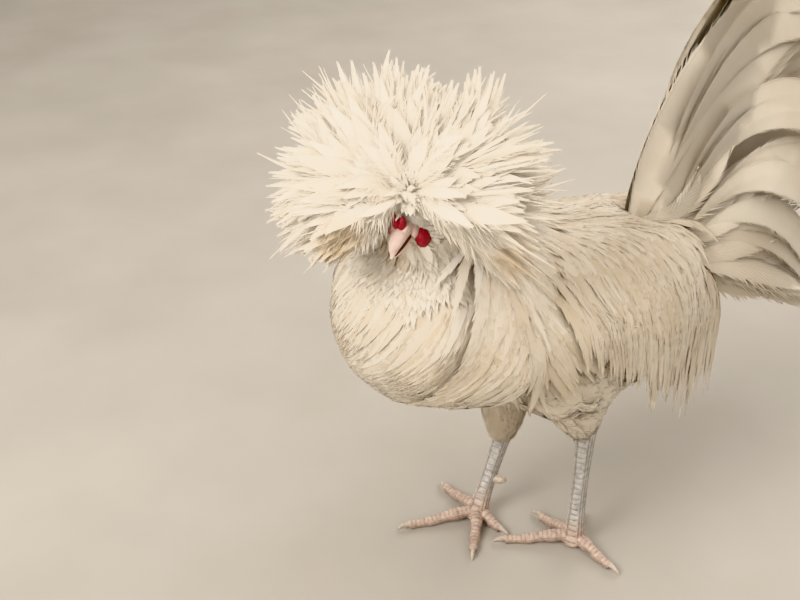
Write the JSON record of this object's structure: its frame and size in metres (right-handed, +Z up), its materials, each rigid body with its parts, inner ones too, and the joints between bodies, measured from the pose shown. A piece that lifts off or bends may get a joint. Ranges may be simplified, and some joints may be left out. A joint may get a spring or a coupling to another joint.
{
  "type": "crested cock, life-size model",
  "caption": "Life-size standing white crested cock with a full round crest, beard, long hackle and saddle feathers and a raised sickle tail.",
  "frame": {"origin": "on the floor, in the middle of the bird's bounding box", "axes": "the bird faces -Y, its left side is +X and +Z is up"},
  "size_m": [0.2013, 0.4674, 0.4461],
  "materials": {
    "plumage": "soft white feathers, slightly glossy on the hackle and tail",
    "red_skin": "moist pebbled skin",
    "horn": "smooth pale horn",
    "scale_skin": "pale blue-grey scales, pinkish toes",
    "eye": "wet gloss"
  },
  "bodies": {
    "root": {"comb": "red_skin", "bill_upper": "horn", "bill_lower": "horn", "eye_left": "eye", "wattle_left": "red_skin", "eye_right": "eye", "wattle_right": "red_skin", "head": "plumage", "crest": "plumage", "beard": "plumage", "neck": "plumage", "sickle_1_left": "plumage", "sickle_1_right": "plumage", "sickle_2_left": "plumage", "sickle_2_right": "plumage", "sickle_3_left": "plumage", "sickle_3_right": "plumage", "sickle_4_left": "plumage", "sickle_4_right": "plumage", "tail_fan": "plumage", "saddle": "plumage", "wing_left": "plumage", "wing_right": "plumage", "claw_1_left": "horn", "claw_2_left": "horn", "claw_3_left": "horn", "claw_4_left": "horn", "shank_left": "scale_skin", "toe_1_left": "scale_skin", "toe_2_left": "scale_skin", "toe_3_left": "scale_skin", "toe_4_left": "scale_skin", "spur_left": "horn", "thigh_left": "plumage", "claw_1_right": "horn", "claw_2_right": "horn", "claw_3_right": "horn", "claw_4_right": "horn", "shank_right": "scale_skin", "toe_1_right": "scale_skin", "toe_2_right": "scale_skin", "toe_3_right": "scale_skin", "toe_4_right": "scale_skin", "spur_right": "horn", "thigh_right": "plumage", "trunk": "plumage"}
  },
  "joints": []
}
